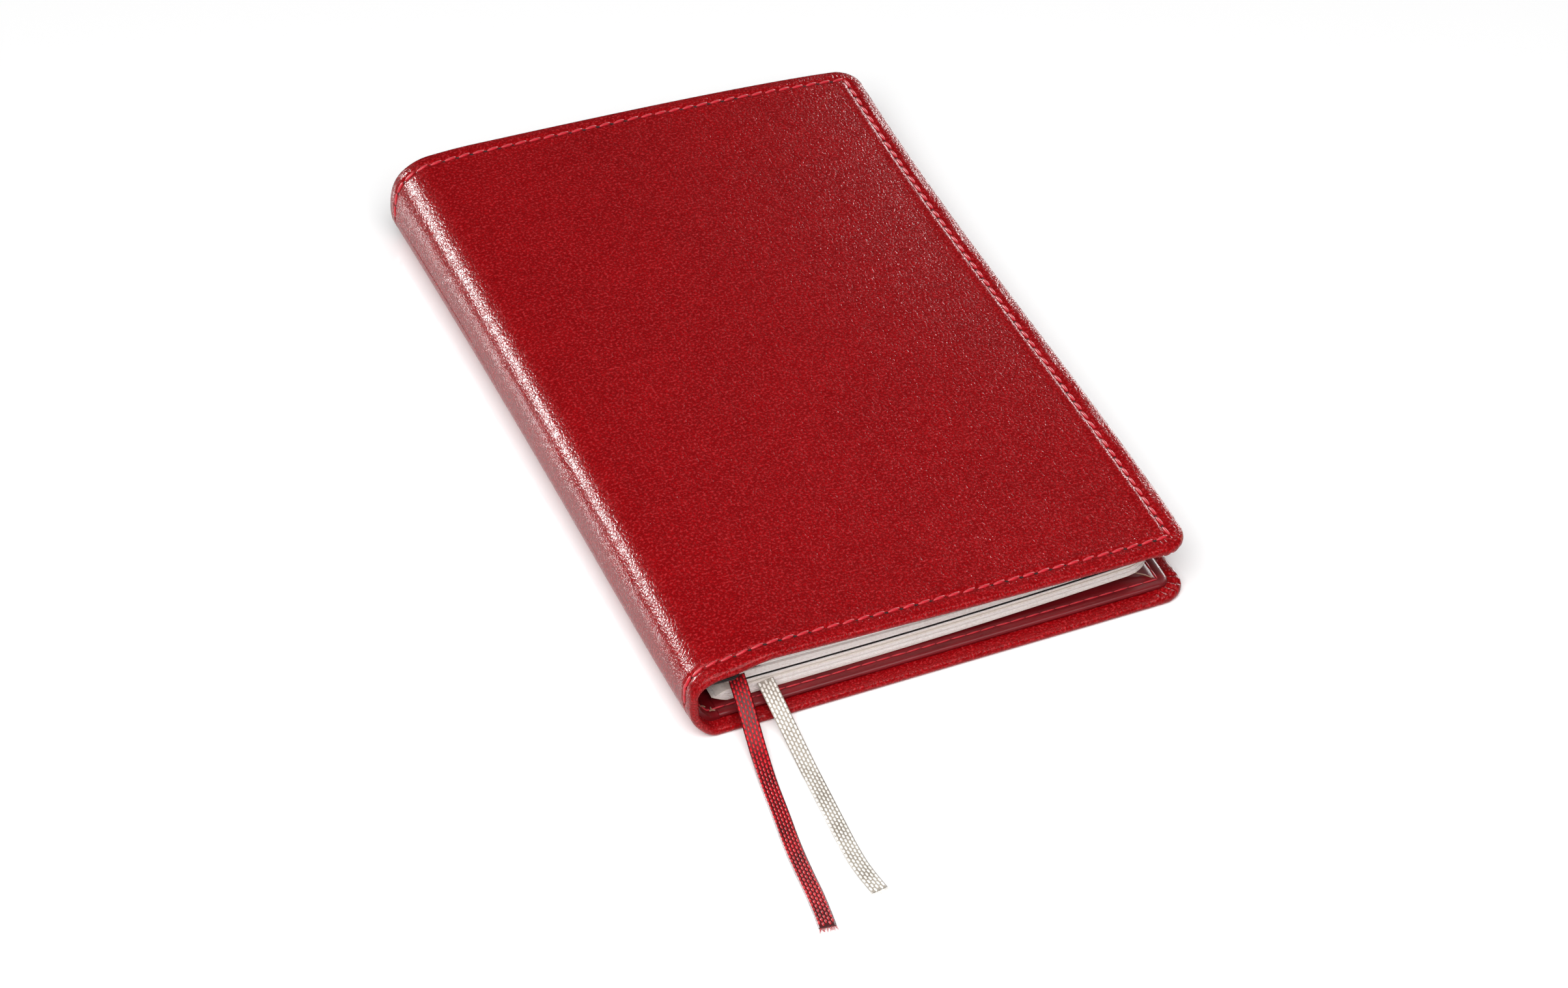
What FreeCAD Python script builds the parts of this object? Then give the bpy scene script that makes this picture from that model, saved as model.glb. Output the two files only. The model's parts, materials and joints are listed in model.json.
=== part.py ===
"""Refillable leather pocket notebook, lying closed on its back cover.

A cover of red leather, sewn all round, holds two stapled booklets on elastic cords.
Two ribbons mark a page in each booklet and hang out over the tail edge.
Frame: +X from the spine to the fore edge, +Y from the tail to the head, +Z up.
The origin is under the middle of the closed notebook, on the surface it lies on. Millimetres.
"""
import FreeCAD, Part
import math
import os

V = FreeCAD.Vector

# Driving dimensions -------------------------------------------------------------------------
# booklets
BOOK_WIDTH = 89.0          # fold to fore edge
BOOK_HEIGHT = 148.0        # tail to head
BOOK_CORNER = 5.5          # radius of the two trimmed fore corners
CARD = 0.25                # one sheet of cover card
DIVIDER = 0.3              # black divider sheet in booklet A
LEAVES_B_LOWER = (1.15, 0.55)   # thickness of a block of leaves beside the fold, at the fore edge
LEAVES_B_UPPER = (1.10, 0.60)
LEAVES_A_LOWER = (0.75, 0.35)
LEAVES_A_MIDDLE = (1.50, 0.75)
LEAVES_A_UPPER = (2.30, 1.15)
GROUP_GAP = 0.3            # clearance between two groups of leaves that turn apart
FORE_LIFT = 2.3            # the booklets spring up this far off the back cover at the fore edge

# cover
LEATHER = 1.1              # outer leather
STIFFENER = 0.6            # bonded-fibre layer, as thick as the skived hem that frames it
LINING = 0.9               # inner pocket panels and spine lining
HEM_WIDTH = 11.0           # outer leather turned over onto the inside
LINING_INSET = 2.6         # the linings stop short of the cover's edge
COVER_CORNER = 5.0
NOSE_GAP = 4.8             # from the spine's inner face to the booklets' folds
FORE_MARGIN = 4.6          # the cover stands out past the booklets at the fore edge
END_MARGIN = 5.5           # the same at head and tail
HEADROOM_SPINE = 2.25      # air between the booklets and the front cover beside the spine
HEADROOM_FORE = 0.3
BOTTOM_BEND = 7.0          # outer radius where the back cover turns up into the spine
SPINE_FLAT = 0.9           # straight stretch between the two bends
FOLD_GAP = 0.3             # clearance between covers and spine along the two folds
FIT = 0.05                 # gap round a layer laid inside a frame

# seam, cords, wire and ribbons
SEAM_INSET = 3.2
THREAD = 0.6               # width of the seam's thread
GROOVE = 0.3               # depth that the seam is pulled into the leather
ELASTIC = 1.2              # diameter
ELASTIC_PLAY = 0.15        # radial clearance of the elastic in its fold
ELASTIC_END = 1.0          # each elastic's leg stops this far short of the lining
ELASTIC_INSET = 8.0        # booklet B's leaves its fold through holes this far from each end
KNOT = 2.6                 # diameter of the flattened knot behind the lining
STAPLE_WIRE = 0.5
STAPLE_CROWN = 12.0
STAPLE_SPACING = 74.0
RIBBON_WIDTH = 3.2
RIBBON = 0.3               # thickness
TAB = (9.0, 7.0, 0.8)      # ribbon tab at the head of the spine: along Y, along Z, thickness

# Free run of each ribbon, from the booklets' tail edge down to the table.
RED_ROUTE = [
    (-37.7, -74.6, 9.2), (-38.0, -79.0, 6.9), (-38.4, -83.6, 4.1), (-38.9, -88.6, 1.6),
    (-39.7, -94.6, 0.4), (-40.6, -102.2, 0.3), (-41.8, -110.4, 0.3), (-42.5, -118.4, 0.3),
    (-42.9, -125.4, 0.3), (-43.8, -132.0, 0.3)]
CREAM_ROUTE = [
    (-32.1, -74.6, 6.2), (-32.0, -78.8, 4.7), (-31.8, -83.2, 3.0), (-31.6, -88.2, 1.3),
    (-31.7, -93.8, 0.4), (-32.0, -100.6, 0.3), (-32.4, -108.4, 0.3), (-32.8, -116.0, 0.3),
    (-32.7, -122.0, 0.3), (-31.9, -127.2, 0.3)]

# Worked-out sizes ---------------------------------------------------------------------------
COVER_T = LEATHER + STIFFENER + LINING
COVER_WIDTH = COVER_T + NOSE_GAP + BOOK_WIDTH + FORE_MARGIN
COVER_HEIGHT = BOOK_HEIGHT + 2 * END_MARGIN
SPINE_X = -COVER_WIDTH / 2
FORE_X = COVER_WIDTH / 2
NOSE_X = SPINE_X + COVER_T + NOSE_GAP
PAGE_X = FORE_X - FORE_MARGIN
STRIP_GAP = RIBBON + GROUP_GAP      # room for a ribbon and clearance between two groups

# The stack of leaves, from the back cover up: body -> [(node, (beside fold, fore edge))].
STACK = [
    ("b_lower", [("booklet_b_back_card", (CARD, CARD)),
                 ("booklet_b_lower_leaves", LEAVES_B_LOWER)], (GROUP_GAP, GROUP_GAP)),
    ("b_upper", [("booklet_b_upper_leaves", LEAVES_B_UPPER),
                 ("booklet_b_front_card", (CARD, CARD))], (STRIP_GAP, GROUP_GAP)),
    ("a_lower", [("booklet_a_back_card", (CARD, CARD)),
                 ("booklet_a_lower_leaves", LEAVES_A_LOWER),
                 ("booklet_a_divider", (DIVIDER, DIVIDER)),
                 ("booklet_a_middle_leaves", LEAVES_A_MIDDLE)], (STRIP_GAP, GROUP_GAP)),
    ("a_upper", [("booklet_a_upper_leaves", LEAVES_A_UPPER),
                 ("booklet_a_front_card", (CARD, CARD))], (0.0, 0.0)),
]


def stack_levels():
    """Bottom and top of every layer and group, each as (beside fold, fore edge)."""
    low = (COVER_T + GROUP_GAP, COVER_T + FORE_LIFT)
    layers, groups = {}, {}
    for group, nodes, gap in STACK:
        start = low
        for node, thick in nodes:
            high = (low[0] + thick[0], low[1] + thick[1])
            layers[node] = (low, high)
            low = high
        groups[group] = (start, low)
        low = (low[0] + gap[0], low[1] + gap[1])
    return layers, groups


LAYERS, GROUPS = stack_levels()


def fold_of(lower, upper):
    """Axis and radius (x, z, r) of the fold that joins two groups of leaves."""
    low, high = GROUPS[lower][0][0], GROUPS[upper][1][0]
    r = (high - low) / 2
    return NOSE_X + r, low + r, r


FOLDS = {"a": fold_of("a_lower", "a_upper"), "b": fold_of("b_lower", "b_upper")}
LEAF_X = {key: fold[0] + fold[2] + STAPLE_WIRE + GROUP_GAP      # clear of fold and staples
          for key, fold in FOLDS.items()}
LEG_Y = {"a": BOOK_HEIGHT / 2 + ELASTIC / 2 + GROUP_GAP,         # where the elastics turn off
         "b": BOOK_HEIGHT / 2 - ELASTIC_INSET}

SPINE_HEIGHT = GROUPS["a_upper"][1][0] + HEADROOM_SPINE + COVER_T
FORE_HEIGHT = GROUPS["a_upper"][1][1] + HEADROOM_FORE + COVER_T
TOP_BEND = SPINE_HEIGHT - BOTTOM_BEND - SPINE_FLAT
BEND_1 = (SPINE_X + BOTTOM_BEND, BOTTOM_BEND)                 # centre of the bottom bend
BEND_2 = (SPINE_X + TOP_BEND, SPINE_HEIGHT - TOP_BEND)        # centre of the top bend


def front_slope():
    """Angle that the front cover falls, from its tangent on the top bend to the fore edge."""
    run, rise = FORE_X - BEND_2[0], FORE_HEIGHT - BEND_2[1]
    return math.degrees(math.atan2(run, rise) - math.acos(TOP_BEND / math.hypot(run, rise)))


SLOPE = front_slope()
TANGENT_2 = 90.0 - SLOPE                # where the top bend runs into the front cover
SPLIT_1 = 225.0                         # the folds cross the two bends half way round
SPLIT_2 = (180.0 + TANGENT_2) / 2


# Shapes -------------------------------------------------------------------------------------
def on_arc(centre, radius, degrees):
    a = math.radians(degrees)
    return V(centre[0] + radius * math.cos(a), 0, centre[1] + radius * math.sin(a))


def arc(centre, radius, start, end):
    middle = on_arc(centre, radius, (start + end) / 2)
    return Part.Arc(on_arc(centre, radius, start), middle, on_arc(centre, radius, end)).toShape()


def line(a, b):
    return Part.LineSegment(a, b).toShape()


def back_path(depth):
    """The back cover's line in cross-section, at a depth under its outer face."""
    radius = BOTTOM_BEND - depth
    turn = math.degrees(FOLD_GAP / 2 / BOTTOM_BEND)
    tangent = on_arc(BEND_1, radius, 270)
    return [line(V(FORE_X, 0, depth), tangent), arc(BEND_1, radius, 270, SPLIT_1 + turn)]


def spine_path(depth):
    """The spine's line, from the fold at the back cover to the fold at the front cover."""
    lower, upper = BOTTOM_BEND - depth, TOP_BEND - depth
    start = SPLIT_1 - math.degrees(FOLD_GAP / 2 / BOTTOM_BEND)
    end = SPLIT_2 + math.degrees(FOLD_GAP / 2 / TOP_BEND)
    return [arc(BEND_1, lower, start, 180),
            line(on_arc(BEND_1, lower, 180), on_arc(BEND_2, upper, 180)),
            arc(BEND_2, upper, 180, end)]


def front_path(depth):
    """The front cover's line, from the fold at the spine to the fore edge."""
    radius = TOP_BEND - depth
    turn = math.degrees(FOLD_GAP / 2 / TOP_BEND)
    a = math.radians(SLOPE)
    fore = V(FORE_X - depth * math.sin(a), 0, FORE_HEIGHT - depth * math.cos(a))
    return [arc(BEND_2, radius, SPLIT_2 - turn, TANGENT_2),
            line(on_arc(BEND_2, radius, TANGENT_2), fore)]


def band(path, outer, inner):
    """A layer of the cover between two depths, as tall as the cover."""
    edges, back = path(outer), path(inner)
    ends = [line(edges[-1].lastVertex(True).Point, back[-1].lastVertex(True).Point),
            line(edges[0].firstVertex(True).Point, back[0].firstVertex(True).Point)]
    loops = Part.sortEdges(edges + back + ends)
    face = Part.Face(Part.Wire(loops[0]))
    face.translate(V(0, -COVER_HEIGHT / 2, 0))
    return face.extrude(V(0, COVER_HEIGHT, 0))


def plate(x0, x1, half, corner):
    """A tall block seen from above as a plate with its two fore corners rounded."""
    block = Part.makeBox(x1 - x0, 2 * half, SPINE_HEIGHT + 4, V(x0, -half, -2))
    if corner <= 0:
        return block
    upright = [e for e in block.Edges
               if abs(e.Vertexes[0].X - x1) < 1e-6 and abs(e.Vertexes[1].X - x1) < 1e-6
               and abs(e.Vertexes[0].Z - e.Vertexes[1].Z) > 1]
    return block.makeFillet(corner, upright)


def inset(distance):
    """The cover's plan, drawn in from its three free edges."""
    return plate(SPINE_X - 1, FORE_X - distance, COVER_HEIGHT / 2 - distance,
                 COVER_CORNER - distance)


def seam_ring():
    return inset(SEAM_INSET - THREAD / 2).cut(inset(SEAM_INSET + THREAD / 2))


def cover_section(name, path):
    """Outer leather with its hem, stiffener, lining and seam thread of one part of the cover."""
    groove = seam_ring()
    hem_depth = LEATHER + STIFFENER
    skin = band(path, 0, LEATHER).common(inset(0))
    hem = band(path, LEATHER, hem_depth).common(inset(0)).cut(inset(HEM_WIDTH))
    outer = skin.fuse(hem).removeSplitter().cut(band(path, 0, GROOVE).common(groove))
    core = band(path, LEATHER, hem_depth).common(inset(HEM_WIDTH + FIT))
    lining = band(path, hem_depth, COVER_T).common(inset(LINING_INSET))
    lining = lining.cut(band(path, COVER_T - GROOVE, COVER_T).common(groove))
    threads = [band(path, 0, GROOVE).common(groove),
               band(path, COVER_T - GROOVE, COVER_T).common(groove)]
    return {f"{name}_outer_leather": outer, f"{name}_stiffener": core,
            LINING_NAMES[name]: lining, f"{name}_seam_thread": Part.makeCompound(threads)}


LINING_NAMES = {"back": "back_pocket_panel", "spine": "spine_lining",
                "front": "front_pocket_panel"}


def height_at(levels, x):
    """Height at x of a surface given beside the folds and at the fore edge."""
    start = LEAF_X["a"]
    return levels[0] + (levels[1] - levels[0]) * (x - start) / (PAGE_X - start)


def slab(x0, x1, half, low, high, corner=0.0):
    """A layer of the stack between two sloping surfaces."""
    corners = [V(x, -half, height_at(levels, x))
               for x, levels in ((x0, low), (x1, low), (x1, high), (x0, high))]
    face = Part.Face(Part.makePolygon(corners + corners[:1]))
    solid = face.extrude(V(0, 2 * half, 0))
    return solid.common(plate(x0 - 1, x1, half, corner)) if corner > 0 else solid


def leaves():
    return {node: slab(LEAF_X[node[8]], PAGE_X, BOOK_HEIGHT / 2, low, high, BOOK_CORNER)
            for node, (low, high) in LAYERS.items()}


def rod(a, b, diameter):
    return Part.makeCylinder(diameter / 2, (b - a).Length, a, b - a)


def staples(fold):
    """Two wire staples over the fold: a crown outside and two legs through to the middle."""
    x, z, r = fold
    crown_x = x - r - STAPLE_WIRE / 2
    tip_x = x - ELASTIC / 2 - ELASTIC_PLAY - STAPLE_WIRE
    wires = []
    for y in (-STAPLE_SPACING / 2, STAPLE_SPACING / 2):
        ends = [V(crown_x, y + side * STAPLE_CROWN / 2, z) for side in (-1, 1)]
        wire = rod(ends[0], ends[1], STAPLE_WIRE)
        for end in ends:
            wire = wire.fuse(rod(end, V(tip_x, end.y, z), STAPLE_WIRE))
            wire = wire.fuse(Part.makeSphere(STAPLE_WIRE / 2, end))
        wires.append(wire.removeSplitter())
    return Part.makeCompound(wires)


ANCHORS = {"a": (BEND_2, TOP_BEND, 160.0), "b": (BEND_1, BOTTOM_BEND, 205.0)}


def elastic_legs(key, diameter):
    """The two legs of an elastic, from the middle of its fold to near the spine lining."""
    (x, z, r), (centre, bend, degrees) = FOLDS[key], ANCHORS[key]
    end = on_arc(centre, bend - COVER_T - ELASTIC_END, degrees)
    legs = []
    for y in (-LEG_Y[key], LEG_Y[key]):
        corner = V(x, y, z)
        legs.append(rod(corner, end + V(0, y, 0), diameter).fuse(
            Part.makeSphere(diameter / 2, corner)))
    return legs


def elastic(key):
    """An elastic cord along the inside of a fold, with its legs turned out to the spine."""
    x, z, r = FOLDS[key]
    cord = rod(V(x, -LEG_Y[key], z), V(x, LEG_Y[key], z), ELASTIC)
    return cord.multiFuse(elastic_legs(key, ELASTIC)).removeSplitter()


def folded_back(key, wires):
    """The rounded back of a booklet, bored for its elastic and pierced by its staples."""
    x, z, r = FOLDS[key]
    end = V(0, BOOK_HEIGHT / 2, 0)
    centre = V(x, 0, z)
    bore = ELASTIC + 2 * ELASTIC_PLAY
    roll = rod(centre - end, centre + end, 2 * r).cut(rod(centre - end, centre + end, bore))
    for leg in elastic_legs(key, bore):
        roll = roll.cut(leg)
    return roll.cut(wires)


def knots():
    """The elastics' ends: a stub through the lining and a flattened knot behind it."""
    ends = []
    for key, (centre, bend, degrees) in ANCHORS.items():
        for y in (-LEG_Y[key], LEG_Y[key]):
            face = on_arc(centre, bend - COVER_T, degrees) + V(0, y, 0)
            behind = on_arc(centre, bend - LEATHER - STIFFENER, degrees) + V(0, y, 0)
            deep = on_arc(centre, bend - LEATHER - 4 * FIT, degrees) + V(0, y, 0)
            ends.append(rod(face, behind, ELASTIC).fuse(rod(behind, deep, KNOT)))
    return Part.makeCompound(ends)


def ribbon_strip(group, fold_key):
    """The hidden run of a ribbon, lying along the gutter on top of a group of leaves."""
    low = GROUPS[group][1]
    high = (low[0] + RIBBON, low[1] + RIBBON)
    start = LEAF_X[fold_key] + GROUP_GAP
    return slab(start, start + RIBBON_WIDTH, BOOK_HEIGHT / 2, low, high)


def ribbon(route):
    """A flat ribbon along straight runs joined by tangent arcs, its section carried along."""
    points = [V(*p) for p in route]
    across = V(1, 0, 0)
    pieces, start, radii, length = [], points[0], [], 0.0

    def section(at, direction):
        side = (across - direction * across.dot(direction)).normalize()
        up = direction.cross(side)
        corners = [at + side * (i * RIBBON_WIDTH / 2) + up * (j * RIBBON / 2)
                   for i, j in ((-1, -1), (1, -1), (1, 1), (-1, 1))]
        return Part.Face(Part.makePolygon(corners + corners[:1])), side

    for before, at, after in zip(points, points[1:], points[2:]):
        d1, d2 = (at - before).normalize(), (after - at).normalize()
        turn = d1.getAngle(d2)
        shorter = min((at - before).Length, (after - at).Length)
        radius = 0.45 * shorter / math.tan(turn / 2)
        radii.append(round(radius, 1))
        begin, finish = at - d1 * (0.45 * shorter), at + d2 * (0.45 * shorter)
        face, across = section(start, d1)
        pieces.append(face.extrude(begin - start))
        axis = d1.cross(d2).normalize()
        centre = begin + axis.cross(d1) * radius
        face, across = section(begin, d1)
        pieces.append(face.revolve(centre, axis, math.degrees(turn)))
        across = FreeCAD.Rotation(axis, math.degrees(turn)).multVec(across)
        length += (begin - start).Length + radius * turn
        start = finish
    face, across = section(start, (points[-1] - start).normalize())
    pieces.append(face.extrude(points[-1] - start))
    length += (points[-1] - start).Length
    solid = pieces[0].multiFuse(pieces[1:]).removeSplitter()
    print(f"ribbon length {length:.1f}, volume {solid.Volume:.2f} of "
          f"{length * RIBBON * RIBBON_WIDTH:.2f}, radii {radii}")
    return solid


def ribbon_tab():
    """The folded tab that both ribbons are sewn to, against the spine lining at the head."""
    along, tall, thick = TAB
    top = COVER_HEIGHT / 2 - LINING_INSET - SEAM_INSET
    low = SPINE_HEIGHT / 2 - tall / 2
    window = Part.makeBox(COVER_WIDTH, along, tall, V(SPINE_X, top - along, low))
    return band(spine_path, COVER_T, COVER_T + thick).common(window)


# Build --------------------------------------------------------------------------------------
nodes = {}
nodes.update(cover_section("back", back_path))
nodes.update(cover_section("spine", spine_path))
nodes.update(cover_section("front", front_path))
nodes.update(leaves())
for key in FOLDS:
    wires = staples(FOLDS[key])
    nodes[f"booklet_{key}_staples"] = wires
    nodes[f"booklet_{key}_fold"] = folded_back(key, wires)
    nodes[f"booklet_{key}_elastic"] = elastic(key)
nodes["elastic_knots"] = knots()
for name in ("spine_lining", "spine_outer_leather", "spine_stiffener"):
    nodes[name] = nodes[name].cut(nodes["elastic_knots"])
nodes["ribbon_red_inner"] = ribbon_strip("a_lower", "a")
nodes["ribbon_cream_inner"] = ribbon_strip("b_upper", "b")
nodes["ribbon_red"] = ribbon(RED_ROUTE)
nodes["ribbon_cream"] = ribbon(CREAM_ROUTE)
nodes["ribbon_tab"] = ribbon_tab()

os.makedirs("parts", exist_ok=True)
for name, shape in nodes.items():
    shape.exportStep(f"parts/{name}.step")

pivots = {"back_fold": on_arc(BEND_1, BOTTOM_BEND, SPLIT_1),
          "front_fold": on_arc(BEND_2, TOP_BEND, SPLIT_2),
          "booklet_a": V(FOLDS["a"][0], 0, FOLDS["a"][1]),
          "booklet_b": V(FOLDS["b"][0], 0, FOLDS["b"][1])}
for name, at in pivots.items():
    print(f"{name} axis at x {at.x:.4f}, z {at.z:.4f}")
print(f"cover {COVER_WIDTH:.1f} x {COVER_HEIGHT:.1f}, spine {SPINE_HEIGHT:.2f}, "
      f"fore edge {FORE_HEIGHT:.2f}, front cover falls {SLOPE:.3f} degrees")
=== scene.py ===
"""Refillable leather pocket notebook, closed and lying on its back cover.

A wrap-around cover of red cowhide, sewn round its edges, holds two stapled booklets on
elastic cords. Two woven ribbons hang out over the tail edge. Metres, in the frame of the CAD:
+X from the spine to the fore edge, +Y from the tail to the head, +Z up.
"""
import math
import json

import bmesh
import bpy
import numpy as np
from mathutils import Matrix, Vector


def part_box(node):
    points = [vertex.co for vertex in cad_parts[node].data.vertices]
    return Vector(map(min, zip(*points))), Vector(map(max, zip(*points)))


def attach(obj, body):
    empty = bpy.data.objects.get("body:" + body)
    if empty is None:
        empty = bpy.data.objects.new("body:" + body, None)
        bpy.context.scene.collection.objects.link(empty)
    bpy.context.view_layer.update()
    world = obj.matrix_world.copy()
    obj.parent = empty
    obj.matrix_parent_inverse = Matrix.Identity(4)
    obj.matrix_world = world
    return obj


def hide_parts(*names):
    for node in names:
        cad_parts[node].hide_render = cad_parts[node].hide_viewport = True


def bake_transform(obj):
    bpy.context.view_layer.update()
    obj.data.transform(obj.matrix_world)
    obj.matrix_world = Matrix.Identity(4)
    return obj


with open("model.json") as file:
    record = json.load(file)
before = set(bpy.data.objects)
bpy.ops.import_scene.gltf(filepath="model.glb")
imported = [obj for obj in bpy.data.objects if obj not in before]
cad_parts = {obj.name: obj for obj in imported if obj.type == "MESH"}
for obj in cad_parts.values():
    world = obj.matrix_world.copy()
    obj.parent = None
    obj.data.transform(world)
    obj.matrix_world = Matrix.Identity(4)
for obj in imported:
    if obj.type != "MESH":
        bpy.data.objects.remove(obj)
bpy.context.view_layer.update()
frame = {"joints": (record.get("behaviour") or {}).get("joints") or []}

MM = 0.001

# Camera ---------------------------------------------------------------------------------------
# A long lens above the tail end of the spine, turned a little about its own axis, so that the
# front cover and the open tail end are both seen.
CAMERA_PLACE = Vector((-0.3223, -0.8207, 0.7508))
CAMERA_AZIMUTH, CAMERA_ELEVATION, CAMERA_ROLL = (math.radians(a) for a in (-21.55, 41.19, -1.2))

camera = bpy.data.objects.new("camera", bpy.data.cameras.new("camera"))
bpy.context.scene.collection.objects.link(camera)
camera.data.sensor_width = 36.0
camera.data.lens = 138.9
camera.data.clip_start, camera.data.clip_end = 0.05, 20.0
forward = Vector((-math.sin(CAMERA_AZIMUTH) * math.cos(CAMERA_ELEVATION),
                  math.cos(CAMERA_AZIMUTH) * math.cos(CAMERA_ELEVATION),
                  -math.sin(CAMERA_ELEVATION)))
level = forward.cross(Vector((0, 0, 1))).normalized()
raised = level.cross(forward)
right = math.cos(CAMERA_ROLL) * level + math.sin(CAMERA_ROLL) * raised
above = math.cos(CAMERA_ROLL) * raised - math.sin(CAMERA_ROLL) * level
turned = Matrix((right, above, -forward)).transposed().to_4x4()
camera.matrix_world = Matrix.Translation(CAMERA_PLACE) @ turned
bpy.context.scene.camera = camera

# Ribbon page markers --------------------------------------------------------------------------
# Two narrow woven polyester ribbons, one red and one cream, that lie in the booklets, hang out
# over the tail edge and rest on the table. Rows of thicker warp threads float over a fine ground,
# and the ends are cut bare and have frayed a little.
RIBBON_WIDTH = 3.2 * MM
RIBBON_GROUND = 0.18 * MM
FLOAT_COLUMNS = 5
FLOAT_SPACING = 1.15 * MM
FLOAT_LENGTH = 1.1 * MM
FLOAT_WIDTH = 0.5 * MM
FLOAT_HEIGHT = 0.4 * MM
RED_ROUTE = [(-37.7, -74.6, 8.9), (-38.0, -79.0, 6.9), (-38.4, -83.6, 4.1), (-38.9, -88.6, 1.6),
             (-39.7, -94.6, 0.4), (-40.6, -102.2, 0.3), (-41.8, -110.4, 0.3),
             (-42.5, -118.4, 0.3), (-42.9, -125.4, 0.3), (-43.8, -132.0, 0.3)]
CREAM_ROUTE = [(-32.1, -74.6, 5.7), (-32.0, -78.8, 4.6), (-31.8, -83.2, 3.0),
               (-31.6, -88.2, 1.3), (-31.7, -93.8, 0.4), (-32.0, -100.6, 0.3),
               (-32.4, -108.4, 0.3), (-32.8, -116.0, 0.3), (-32.7, -122.0, 0.3),
               (-31.9, -127.2, 0.3)]


def linear(code):
    """The linear colour of an sRGB hex value."""
    parts = [int(code[i:i + 2], 16) / 255 for i in (1, 3, 5)]
    return tuple(c / 12.92 if c <= 0.04045 else ((c + 0.055) / 1.055) ** 2.4
                 for c in parts) + (1.0,)


def add(tree, kind, inputs=None, **settings):
    """Adds a node with its settings, its inputs given as values or as sockets to link."""
    node = tree.nodes.new(kind)
    for key, value in settings.items():
        setattr(node, key, value)
    for key, value in (inputs or {}).items():
        if isinstance(value, bpy.types.NodeSocket):
            tree.links.new(value, node.inputs[key])
        else:
            node.inputs[key].default_value = value
    return node


def finish_of(name, **sockets):
    """A new material, its node tree and its Principled shader with the given socket values."""
    made = bpy.data.materials.new(name)
    made.use_nodes = True
    shader = made.node_tree.nodes["Principled BSDF"]
    for key, value in sockets.items():
        shader.inputs[key.replace("_", " ")].default_value = value
    return made, made.node_tree, shader


def noise(tree, place, scale, detail):
    """The grey value of a noise texture."""
    return add(tree, "ShaderNodeTexNoise", {"Vector": place, "Scale": scale,
                                            "Detail": detail}).outputs["Fac"]


def mapped(tree, value, start=0.0, end=1.0, low=0.0, high=1.0):
    """A value's range from start to end, spread from low to high."""
    return add(tree, "ShaderNodeMapRange", {"Value": value, "From Min": start, "From Max": end,
                                            "To Min": low, "To Max": high}).outputs["Result"]


def calculate(tree, operation, *values):
    """The result of a math node."""
    return add(tree, "ShaderNodeMath", dict(enumerate(values)),
               operation=operation).outputs["Value"]


def mix(tree, factor, first, second, blend_type="MIX"):
    """A mix of two colours, each given as a hex value or as a socket."""
    first, second = (linear(c) if isinstance(c, str) else c for c in (first, second))
    return add(tree, "ShaderNodeMix", {0: factor, 6: first, 7: second}, data_type="RGBA",
               blend_type=blend_type).outputs[2]


def surface(tree, shader, colour, height, strength, distance):
    """Links a colour and a bump made from a height to the shader. Returns the bump's normal."""
    bump = add(tree, "ShaderNodeBump", {"Height": height, "Strength": strength,
                                        "Distance": distance}).outputs["Normal"]
    tree.links.new(colour, shader.inputs["Base Color"])
    tree.links.new(bump, shader.inputs["Normal"])
    return bump


def object_place(tree):
    return add(tree, "ShaderNodeTexCoord").outputs["Object"]


def woven_polyester(name, light, dark):
    # Woven polyester: soft lustre along the floats, fine cross lines, darker where shaded.
    made, tree, shader = finish_of(name, Roughness=0.4, Sheen_Weight=0.08, Sheen_Roughness=0.4,
                                   Specular_IOR_Level=0.4)
    place = object_place(tree)
    fibres, patches = noise(tree, place, 2600.0, 2.0), noise(tree, place, 240.0, 1.0)
    share = mapped(tree, calculate(tree, "MULTIPLY", fibres, patches), 0.12, 0.36)
    surface(tree, shader, mix(tree, share, dark, light), fibres, 0.35, 0.05 * MM)
    return made


def mesh_object(name, points, faces, material, smooth=True):
    """A linked mesh object at the origin."""
    mesh = bpy.data.meshes.new(name)
    mesh.from_pydata(np.asarray(points, float).tolist(), [], [list(map(int, f)) for f in faces])
    mesh.materials.append(material)
    mesh.polygons.foreach_set("use_smooth", [smooth] * len(mesh.polygons))
    mesh.update()
    made = bpy.data.objects.new(name, mesh)
    bpy.context.scene.collection.objects.link(made)
    return made


def store(made, name, values):
    """Stores a number or a vector for each vertex of an object's mesh."""
    values = np.asarray(values, np.float32)
    kind, field = ("FLOAT_VECTOR", "vector") if values.ndim == 2 else ("FLOAT", "value")
    kept = made.data.attributes.new(name, kind, "POINT")
    kept.data.foreach_set(field, values.ravel())


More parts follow.
